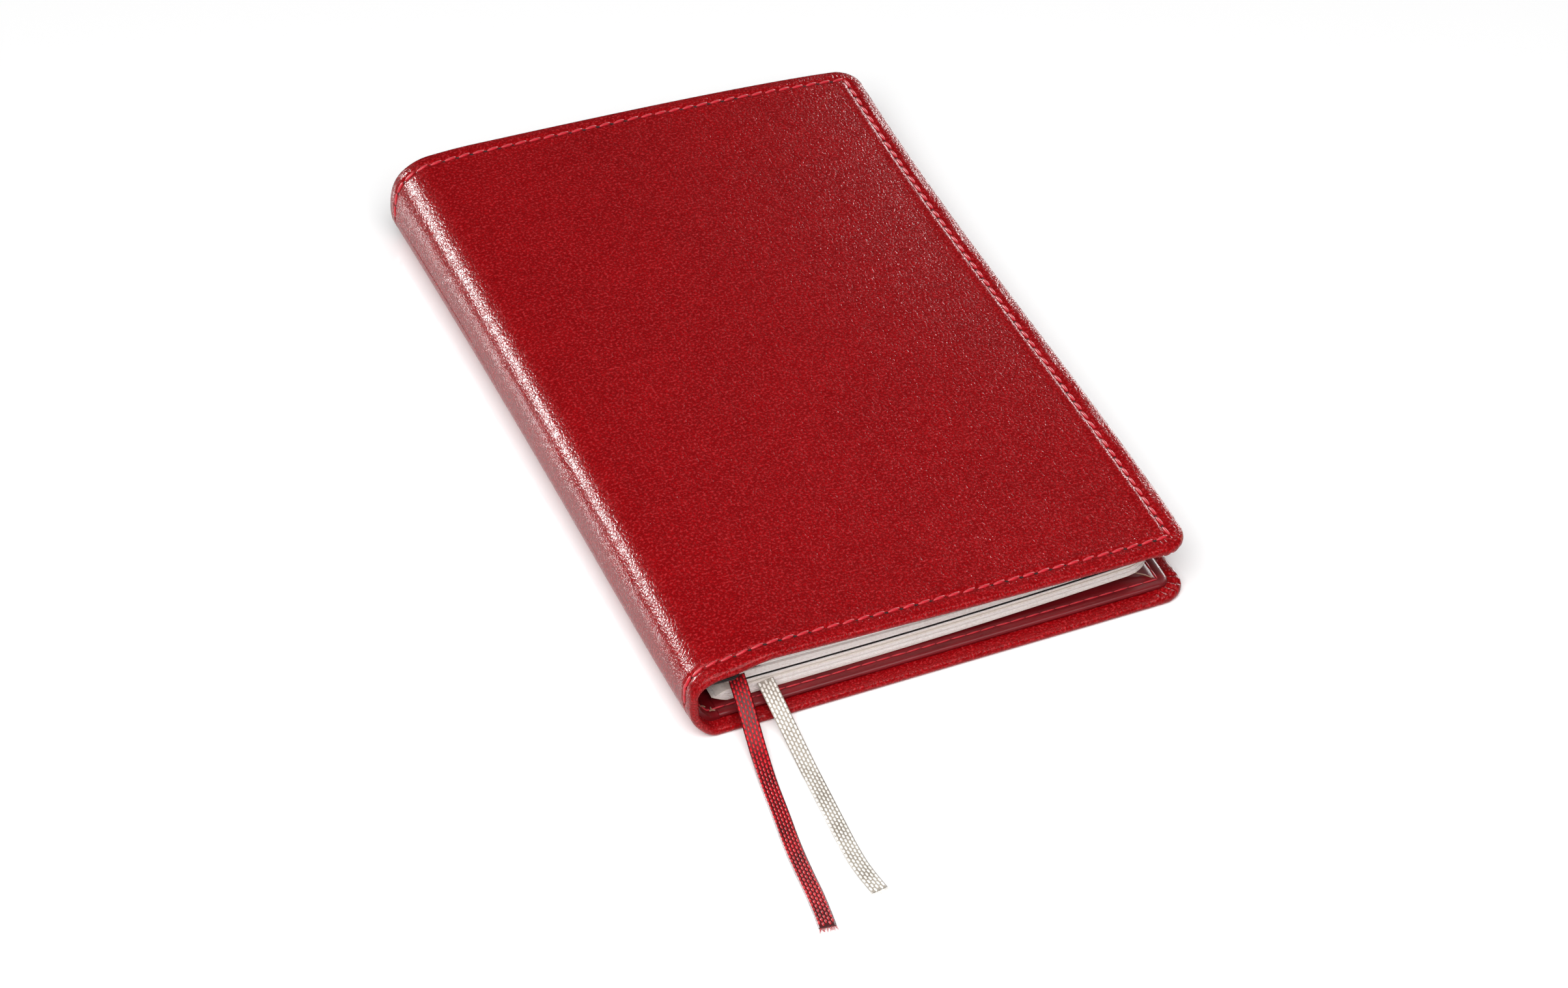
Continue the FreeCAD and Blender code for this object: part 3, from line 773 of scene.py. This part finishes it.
# Seams ----------------------------------------------------------------------------------------
# Waxed polyester thread, lock-stitched by machine 3.2 mm from the edge all round the cover. Each
# stitch is pulled down into a needle hole at both ends and lies a little across the line.
STITCH_LENGTH = 2.55 * MM
STITCH_WIDTH = 0.6 * MM
STITCH_HEIGHT = 0.62 * MM
STITCH_SLANT = math.radians(9)
FLAT_STITCH = 0.3 * MM                # height of the back's, which the table presses flat
HOLE_SIZE = (0.8 * MM, 0.6 * MM, 0.2 * MM)
INNER_STITCH = (2.95 * MM, 0.34 * MM, 0.3 * MM)


def waxed_thread(name, light, dark):
    # Twisted, waxed thread: glossy, with fine diagonal lines where its plies lie together.
    made, tree, shader = finish_of(name, Roughness=0.4, Specular_IOR_Level=0.5,
                                   Sheen_Weight=0.2)
    plies = noise(tree, object_place(tree), 1900.0, 2.0)
    surface(tree, shader, mix(tree, plies, dark, light), plies, 0.4, 0.05 * MM)
    return made


def seam_points(half, inset, depth, whole_pitches):
    """Places, directions and normals of a seam's stitches, or of the needle holes between them."""
    ends, fore = REACH[half] - inset, 2 * (HALF_HEIGHT - inset)
    shift = 0.0 if whole_pitches else 0.5
    spots, aheads, ups = [], [], []

    def take(a, y, da, dy):
        here = rounded(a, HALF_HEIGHT - np.abs(y))
        y_here = np.where(y < 0, -1, 1) * (HALF_HEIGHT - here[1])
        small = 0.05 * MM
        at = cover_point(half, here[0], y_here, depth + 0 * a)
        ahead = cover_point(half, here[0] + da * small, y_here + dy * small, depth + 0 * a) - at
        deeper = cover_point(half, here[0], y_here, depth + small + 0 * a)
        spots.append(at)
        aheads.append(ahead / np.linalg.norm(ahead, axis=1)[:, None])
        ups.append((at - deeper) / small)

    count = stitch_count(ends)
    along = (np.arange(count) + shift) / count * ends
    for y in (-1, 1):
        take(REACH[half] - along, np.full(count, y * (HALF_HEIGHT - inset)), -1, 0)
    count = stitch_count(fore)
    along = (np.arange(count) + shift) / count * fore
    take(np.full(count, inset), along - HALF_HEIGHT + inset, 0, 1)
    return np.concatenate(spots), np.concatenate(aheads), np.concatenate(ups)


red_thread = waxed_thread("waxed_red_thread", "#e02838", "#b01424")
# A near-black finish for the beads sunk in the needle holes: painted shade.
hole_shade = finish_of("needle_hole_painted_shade", Roughness=0.9, Base_Color=linear("#1c0604"))[0]
SEAM_NODES = {half: (f"{half}_seam_thread", "spine_seam_thread") for half in ("back", "front")}

for half in ("back", "front"):
    spots, aheads, ups = seam_points(half, SEAM_INSET, 0.06 * MM, False)
    if half == "back":
        spots = spots - ups * 0.22 * MM
    seam = lay_threads(f"{half}_outer_stitches", spots, aheads, ups, red_thread, STITCH_LENGTH,
                       STITCH_WIDTH, STITCH_HEIGHT if half == "front" else FLAT_STITCH,
                       slant=STITCH_SLANT * SIDE[half], wander=0.05, seed=11)
    follow_cover(seam, half, "red_thread", *SEAM_NODES[half])
    # Dark beads in the needle holes, as painted shade.
    spots, aheads, ups = seam_points(half, SEAM_INSET, 0.3 * MM, True)
    holes = lay_threads(f"{half}_needle_holes", spots, aheads, ups, hole_shade, *HOLE_SIZE,
                        wander=0.4, seed=12)
    follow_cover(holes, half, "red_leather", *LEATHER_NODES[half])
    spots, aheads, ups = seam_points(half, INNER_SEAM, COVER_DEPTH + 0.06 * MM, False)
    inner = lay_threads(f"{half}_inner_stitches", spots, aheads, ups, red_thread,
                        *INNER_STITCH, wander=0.04, seed=13)
    follow_cover(inner, half, "red_thread", *SEAM_NODES[half])

# Booklets -------------------------------------------------------------------------------------
# Two refill booklets of uncoated cream paper, folded, wire-stitched through the fold and trimmed
# with round corners. Each has cards outside; a black divider lies among booklet A's lower leaves.
BOOK_CORNER = 5.5 * MM
LEAF_PITCH = 0.115 * MM               # one leaf and the air beside it, next to the fold
CARD_THICK = 0.25 * MM
PAGE_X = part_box("booklet_a_upper_leaves")[1].x
BOOK_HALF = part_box("booklet_a_upper_leaves")[1].y
LEAF_START = {key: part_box(f"booklet_{key}_upper_leaves")[0].x for key in "ab"}


def hinge_place(name):
    joint = next(j for j in frame["joints"] if j["name"] == name)
    return Vector(joint.get("pos_m") or joint["pos"])


FOLD = {key: hinge_place(f"booklet_{key}_upper_turn") for key in "ab"}
NOSE = {"a": (FOLD["a"].x - 0.3 * MM, FOLD["a"].z - 1.0 * MM),
        "b": (FOLD["b"].x - 0.5 * MM, FOLD["b"].z + 0.2 * MM)}
NOSE_SHAPE = {"a": 1.7, "b": 1.2}      # round back of booklet A, pointed one of booklet B
NOSE_NEST = {"a": 0.5, "b": 1.9}       # how far each inner fold stands back inside the next
LAYER_LEVELS = {                        # node: (beside the fold, at the fore edge), low and high
    "booklet_b_back_card": ((2.9, 4.9), (3.15, 5.15)),
    "booklet_b_lower_leaves": ((3.15, 5.15), (4.3, 5.7)),
    "booklet_b_upper_leaves": ((4.4, 6.0), (5.2, 6.6)),
    "booklet_b_front_card": ((5.2, 6.6), (5.45, 6.85)),
    "booklet_a_back_card": ((5.85, 7.15), (6.1, 7.4)),
    "booklet_a_lower_leaves": ((6.1, 7.4), (6.6, 7.6)),
    "booklet_a_divider": ((6.6, 7.6), (7.05, 8.15)),
    "booklet_a_middle_leaves": ((7.05, 8.15), (8.7, 8.8)),
    "booklet_a_upper_leaves": ((9.2, 9.1), (12.0, 10.25)),
    "booklet_a_front_card": ((12.0, 10.25), (12.25, 10.5))}


def lie(x, y, z):
    """Lets the stack sag in its middle and follow the front cover's fore edge down."""
    across = np.clip((x - LEAF_START["a"]) / (PAGE_X - LEAF_START["a"]), 0, 1)
    sag = -0.75 * MM * np.sin(math.pi * across) ** 0.9
    v = y / HALF_HEIGHT
    fore = np.minimum(0, -1.8 - 4.9 * v + 1.2 * v ** 2 + 3.5 * v ** 3) * MM
    return z + sag + 0.58 * fore * np.exp(-(PAGE_X - x) / (27 * MM)) * smoothstep(across * 4)


def page_corner(x, y):
    """Rounds the two trimmed fore corners of a leaf."""
    vx, vy = np.maximum(0, BOOK_CORNER - PAGE_X + x), np.maximum(0, BOOK_CORNER - BOOK_HALF
                                                                 + np.abs(y))
    far = np.hypot(vx, vy)
    pull = 1 - np.maximum(vx, vy) / np.where(far > 0, far, 1)
    return x - vx * pull, y - np.sign(y) * vy * pull


def leaf_block(node, body, material, thickness, seed):
    """All the leaves of one block, each folded over the booklet's back to its middle."""
    key = node[8]
    low, high = LAYER_LEVELS[node]
    count = max(1, round((high[0] - low[0]) * MM / LEAF_PITCH)) if thickness is None else 1
    luck = np.random.default_rng(seed)
    flat = np.r_[np.linspace(0, 1, 12)[:-1] * (PAGE_X - BOOK_CORNER - LEAF_START[key])
                 + LEAF_START[key], PAGE_X - BOOK_CORNER * (1 - np.array([0, .3, .6, .8, 1]))]
    corner_lines = np.array([0, .25, .5, .75, 1]) * BOOK_CORNER
    y_lines = np.r_[corner_lines - BOOK_HALF, np.linspace(-1, 1, 10)[1:-1] *
                    (BOOK_HALF - BOOK_CORNER), BOOK_HALF - corner_lines[::-1]]
    fold_steps = np.linspace(0, 1, 11)[:-1]
    nose_x, nose_z = NOSE[key]
    outermost = max(abs(v[1][0] * MM - FOLD[key].z) for n, v in LAYER_LEVELS.items()
                    if n[8] == key)
    points, faces = [], []
    base = 0
    for leaf in range(count):
        share = (leaf + 0.5) / count
        start_z = (low[0] + (high[0] - low[0]) * share) * MM
        end_z = (low[1] + (high[1] - low[1]) * share) * MM
        away = start_z - FOLD[key].z
        tip = nose_x + (outermost - abs(away)) * NOSE_NEST[key]
        tip = min(tip, LEAF_START[key] - 0.8 * MM)
        x_fold = tip + (LEAF_START[key] - tip) * fold_steps
        x = np.r_[x_fold, flat]
        rise = 1 - (1 - np.clip((x - tip) / (LEAF_START[key] - tip), 0, 1)) ** NOSE_SHAPE[key]
        slope = np.clip((x - LEAF_START[key]) / (PAGE_X - LEAF_START[key]), 0, 1)
        z = nose_z + (start_z - nose_z) * rise + (end_z - start_z) * slope
        gap_start = (high[0] - low[0]) * MM / count
        gap_end = (high[1] - low[1]) * MM / count
        thick = (gap_start + (gap_end - gap_start) * slope) * (0.8 if thickness is None else 0.96)
        thick = thick * (0.35 + 0.65 * np.minimum(1, rise * 1.6))
        grid_x, grid_y = np.meshgrid(x, y_lines, indexing="ij")
        plan_x, plan_y = page_corner(grid_x, grid_y)
        trim = luck.normal(0, 0.045, 2) * MM
        plan_x = plan_x + trim[0] * slope[:, None]
        plan_y = plan_y + trim[1]
        level = lie(plan_x, plan_y, z[:, None] + 0 * plan_y)
        half_thick = thick[:, None] / 2
        top = np.stack([plan_x, plan_y, level + half_thick], -1).reshape(-1, 3)
        bottom = np.stack([plan_x, plan_y, level - half_thick], -1).reshape(-1, 3)
        index = np.arange(grid_x.size).reshape(grid_x.shape) + base
        under = index + grid_x.size
        loop, following = outline(index)
        lower = quads(under)[:, [0, 3, 2, 1]]
        walls = np.stack([following, loop, loop + grid_x.size, following + grid_x.size], -1)
        points += [top, bottom]
        faces += [*quads(index), *lower, *walls]
        base += 2 * grid_x.size
    made = mesh_object(node.replace("booklet_", "leaves_"), np.concatenate(points), faces,
                       material, smooth=False)
    if body == "back_cover":
        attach(made, body)
    else:
        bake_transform(made)
    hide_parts(node, f"booklet_{key}_fold")
    return made


def uncoated_paper(name, light, dark, rough=0.75):
    # Uncoated book paper: matt, slightly warm, with fine lines along the cut edges.
    made, tree, shader = finish_of(name, Roughness=rough, Specular_IOR_Level=0.3)
    place = object_place(tree)
    drawn = add(tree, "ShaderNodeMapping", {"Vector": place, "Scale": (30.0, 30.0, 9000.0)})
    lines = noise(tree, drawn.outputs["Vector"], 1.0, 1.0)
    fibres = noise(tree, place, 1800.0, 3.0)
    facing = add(tree, "ShaderNodeSeparateXYZ",
                 {"Vector": add(tree, "ShaderNodeNewGeometry").outputs["Normal"]})
    on_edges = mapped(tree, calculate(tree, "ABSOLUTE", facing.outputs["Z"]), 0.4, 0.8, 1.0, 0.0)
    dips = calculate(tree, "MULTIPLY", calculate(tree, "ADD", lines, -0.5), on_edges)
    share = mapped(tree, calculate(tree, "ADD", dips, fibres), 0.2, 0.5)
    surface(tree, shader, mix(tree, share, dark, light), fibres, 0.2, 0.02 * MM)
    return made


paper = uncoated_paper("uncoated_cream_paper", "#fffaf7", "#eee3dd")
card = uncoated_paper("cream_cover_card", "#faf2ea", "#ebe0d8", rough=0.6)
black = uncoated_paper("black_divider_card", "#0e0b0a", "#060404", rough=0.7)
GROUPS = {"booklet_b_lower": ("booklet_b_back_card", "booklet_b_lower_leaves"),
          "booklet_b_upper": ("booklet_b_upper_leaves", "booklet_b_front_card"),
          "booklet_a_lower": ("booklet_a_back_card", "booklet_a_lower_leaves",
                              "booklet_a_divider", "booklet_a_middle_leaves"),
          "booklet_a_upper": ("booklet_a_upper_leaves", "booklet_a_front_card")}
for body, nodes in GROUPS.items():
    for order, node in enumerate(nodes):
        if node.endswith("leaves"):
            leaf_block(node, body, paper, None, seed=20 + order)
        elif node.endswith("divider"):
            leaf_block(node, body, black, CARD_THICK, seed=30)
        else:
            leaf_block(node, body, card, CARD_THICK, seed=31)

# Hidden runs and fittings ---------------------------------------------------------------------
# Each ribbon runs on along the gutter to a tab sewn at the head of the spine. Black braided
# elastics hold the booklets, knotted at the spine lining, and two wire staples bind each booklet.
for key, node, body, weave, ground, layer, seed in (
        ("a", "ribbon_red_inner", "booklet_a_lower", red_weave, red_ground_shade,
         "booklet_a_middle_leaves", 5),
        ("b", "ribbon_cream_inner", "booklet_b_upper", cream_weave, cream_ground_shade,
         "booklet_b_front_card", 6)):
    side_x = {"a": RED_ROUTE[0][0], "b": CREAM_ROUTE[0][0]}[key] * MM
    side_x = max(side_x, LEAF_START[key] + RIBBON_WIDTH / 2 + 0.6 * MM)
    run_y = np.linspace(-BOOK_HALF + 0.3 * MM, BOOK_HALF - 0.3 * MM, 80)
    share = (side_x - LEAF_START[key]) / (PAGE_X - LEAF_START[key])
    top = LAYER_LEVELS[layer][1]
    level = (top[0] + (top[1] - top[0]) * share) * MM + 0.12 * MM
    middle = np.stack([side_x + 0.5 * MM * np.sin(run_y / (23 * MM)), run_y,
                       lie(side_x + 0 * run_y, run_y, level)], -1)
    woven_strip(node, node, body, middle, frames_on(middle), weave, ground,
                seed)


def drawn_wire(name, lines, diameter, material):
    """Smooth round strands along lines of points, as one plain mesh."""
    mesh = mesh_of_lines(name, lines, 8, diameter)
    mesh.materials.clear()
    mesh.materials.append(material)
    made = bpy.data.objects.new(name, mesh)
    bpy.context.scene.collection.objects.link(made)
    return made


def braided_elastic():
    # A rubber core covered in a black braid: matt, with fine slanting ribs.
    made, tree, shader = finish_of("black_braided_elastic", Roughness=0.7, Sheen_Weight=0.2)
    ribs = add(tree, "ShaderNodeTexWave", {"Vector": object_place(tree), "Scale": 900.0,
                                           "Distortion": 1.5, "Detail": 1.0},
               bands_direction="DIAGONAL").outputs["Fac"]
    surface(tree, shader, mix(tree, ribs, "#0a0909", "#24211f"), ribs, 0.7, 0.08 * MM)
    return made


def galvanised_wire():
    # Drawn, zinc-coated steel: bright grey, finely streaked and a little dull in patches.
    made, tree, shader = finish_of("galvanised_steel_wire", Metallic=1.0, Roughness=0.35)
    patches = noise(tree, object_place(tree), 1500.0, 3.0)
    tree.links.new(mix(tree, patches, "#8f9092", "#c9cacc"), shader.inputs["Base Color"])
    tree.links.new(mapped(tree, patches, low=0.25, high=0.5), shader.inputs["Roughness"])
    return made


def on_lining(half, u, y, depth):
    return Vector(cover_point(half, np.array([REACH[half] - u]), np.array([y]),
                              np.array([depth]))[0])


ELASTIC = 1.2 * MM
STAPLE_WIRE = 0.5 * MM
STAPLE_SPACING = 74.0 * MM
KNOT_SIZE = (2.6 * MM, 2.4 * MM, 1.3 * MM)
LEG_Y = {"a": BOOK_HALF + ELASTIC / 2 + 0.3 * MM, "b": BOOK_HALF - 8.0 * MM}
ANCHOR = {"a": ("front", 3.75 * MM), "b": ("back", 3.5 * MM)}
braid, zinc = braided_elastic(), galvanised_wire()
knots, ups = [], []
for key in "ab":
    tip_x, tip_z = NOSE[key]
    levels = LAYER_LEVELS[{"a": "booklet_a_upper_leaves", "b": "booklet_b_upper_leaves"}[key]]
    below = LAYER_LEVELS[{"a": "booklet_a_middle_leaves", "b": "booklet_b_lower_leaves"}[key]]
    core = Vector((LEAF_START[key] - 0.7 * MM, 0, (levels[0][0] + below[1][0]) / 2 * MM))
    half, u = ANCHOR[key]
    line = []
    for y in (-LEG_Y[key], LEG_Y[key]):
        wall = on_lining(half, u, y, COVER_DEPTH - 0.1 * MM)
        knots.append(wall)
        ups.append(on_lining(half, u, y, COVER_DEPTH) - wall)
        turn = [wall, wall.lerp(Vector((core.x, y, core.z)), 0.5),
                Vector((core.x - 1.0 * MM, y, core.z)),
                Vector((core.x, y - math.copysign(MM, y), core.z))]
        line += turn if y < 0 else turn[::-1]
    line[4:4] = [core + Vector((0, y, 0)) for y in (-0.5 * BOOK_HALF, 0, 0.5 * BOOK_HALF)]
    cord = drawn_wire(f"booklet_{key}_braided_elastic", [line], ELASTIC, braid)
    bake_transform(cord)
    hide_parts(f"booklet_{key}_elastic")
    crown_x = tip_x - STAPLE_WIRE / 2
    lines = []
    for y in (-STAPLE_SPACING / 2, STAPLE_SPACING / 2):
        shape = ((3.4, 2.2), (3.3, 5.7), (2.2, 6.0), (0.2, 6.0), (0.0, 5.6), (0.0, 0.0))
        one = [Vector((crown_x + x * MM, y + w * MM, tip_z)) for x, w in shape]
        lines.append(one + [Vector((crown_x + x * MM, y - w * MM, tip_z))
                            for x, w in shape[-2::-1]])
    staples = drawn_wire(f"booklet_{key}_wire_staples", lines, STAPLE_WIRE, zinc)
    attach(staples, "back_cover")
    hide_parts(f"booklet_{key}_staples")
tied = lay_threads("elastic_end_knots", knots, [(0, 1, 0)] * len(knots), ups, braid, *KNOT_SIZE,
                   wander=0.3, seed=40)
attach(tied, "spine")
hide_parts("elastic_knots")


TAB_HALF_WIDTH, TAB_LENGTH, TAB_THICK = 3.5 * MM, 9.0 * MM, 0.8 * MM


def sewn_tab():
    """The folded leather tab at the head of the spine that both ribbons are sewn under."""
    across = np.linspace(-TAB_HALF_WIDTH, TAB_HALF_WIDTH, 15)
    y_lines = HALF_HEIGHT - LINING_INSET - SEAM_INSET - np.linspace(0, TAB_LENGTH, 13)
    s_grid, y = np.meshgrid(across, y_lines, indexing="ij")
    edge = np.minimum(np.minimum(TAB_HALF_WIDTH - np.abs(s_grid), y_lines[0] - y),
                      y - y_lines[-1])
    proud = TAB_THICK * smoothstep(0.35 + edge / TAB_THICK) + 0.12 * MM * np.sin(y / (1.1 * MM))
    faces_at = []
    for depth in (COVER_DEPTH + proud, COVER_DEPTH + 0 * proud):
        front, back = (cover_point(half, REACH[half] - np.abs(s_grid), y, depth)
                       for half in ("front", "back"))
        faces_at.append(np.where((s_grid > 0)[..., None], front, back).reshape(-1, 3))
    index = np.arange(y.size).reshape(y.shape)
    loop, after = outline(index)
    grid = quads(index)
    walls = np.stack([loop, after, after + y.size, loop + y.size], -1)
    made = mesh_object("sewn_ribbon_tab", np.concatenate(faces_at),
                       [*grid, *(grid[:, ::-1] + y.size), *walls], split)
    lay_skin(made, np.tile(np.stack([s_grid, y], -1).reshape(-1, 2), (2, 1)))
    turn_outwards(made)
    return made


tab = sewn_tab()
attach(tab, "spine")
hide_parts("ribbon_tab")

# Loose thread ends ----------------------------------------------------------------------------
# Where the inner seam starts at the spine, four stiff tan ends stand out, and one longer end lies
# curled at the tail's fore corner.
LOOSE_THREAD = 0.24 * MM
tan_thread = waxed_thread("bare_thread_ends", "#c9a184", "#7d5138")
ends = []
for u, y, turn in ((5.2, 4.4, 0.4), (6.1, 4.9, -0.7), (11.0, 4.2, 0.9), (11.9, 5.0, -0.2)):
    foot = on_lining("back", u * MM, y * MM - HALF_HEIGHT, COVER_DEPTH + 0.15 * MM)
    tip = foot + Vector((1.1 * math.sin(turn), -0.9 * math.cos(turn), 0.35)) * MM
    ends.append([foot, foot.lerp(tip, 0.5) + Vector((0, 0, 0.25 * MM)), tip])
corner_x, corner_y = FORE_X - 11.0 * MM, 9.0 * MM - HALF_HEIGHT
curl = [(0, 0, 0.1), (1.2, -1.0, 0.35), (2.6, -0.6, 0.5), (3.2, -1.9, 0.4), (4.6, -2.6, 0.2),
        (5.6, -3.9, 0.1)]
ends.append([Vector((corner_x + x * MM, corner_y + y * MM, COVER_DEPTH + (0.15 + z) * MM))
             for x, y, z in curl])
loose = drawn_wire("loose_thread_ends", ends, LOOSE_THREAD, tan_thread)
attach(loose, "back_cover")
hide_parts("back_seam_thread")

# Floor and light ------------------------------------------------------------------------------
# A glossy white studio table under a broad soft lamp above the camera. Two small lamps beyond the
# head end give only a sheen: the left one along the spine's shoulder, and the right one where the
# front cover falls away to its fore edge.
floor_material = finish_of("white_acrylic_table", Roughness=0.1, Specular_IOR_Level=0.6,
                           Base_Color=linear("#fdfdfd"), Emission_Color=linear("#ffffff"),
                           Emission_Strength=0.12)[0]
FLOOR_SIZE = 4.0
floor = mesh_object("floor", [(-FLOOR_SIZE, -FLOOR_SIZE, 0), (FLOOR_SIZE, -FLOOR_SIZE, 0),
                              (FLOOR_SIZE, FLOOR_SIZE, 0), (-FLOOR_SIZE, FLOOR_SIZE, 0)],
                    [(0, 1, 2, 3)], floor_material)


def soft_lamp(name, place, size, power, glint=False):
    """A rectangular lamp turned towards the notebook. A glint lamp is seen only as a sheen."""
    data = bpy.data.lights.new(name, "AREA")
    data.shape = "RECTANGLE"
    data.size, data.size_y = size
    data.energy = power
    lamp = bpy.data.objects.new(name, data)
    bpy.context.scene.collection.objects.link(lamp)
    lamp.location = place
    lamp.rotation_euler = (-Vector(place)).to_track_quat("-Z", "Y").to_euler()
    lamp.visible_diffuse = not glint


soft_lamp("top_lamp", (-0.35, -0.75, 1.25), (1.6, 1.2), 34)
soft_lamp("shoulder_lamp", (-0.84, 0.96, 0.5), (0.3, 0.3), 36, glint=True)
soft_lamp("fore_edge_lamp", (1.05, 0.92, 0.43), (0.45, 0.3), 15, glint=True)
world = bpy.data.worlds.new("studio")
world.use_nodes = True
bpy.context.scene.world = world
world.node_tree.nodes["Background"].inputs["Color"].default_value = (1, 1, 1, 1)
world.node_tree.nodes["Background"].inputs["Strength"].default_value = 0.08
bpy.context.scene.view_settings.view_transform = "Standard"
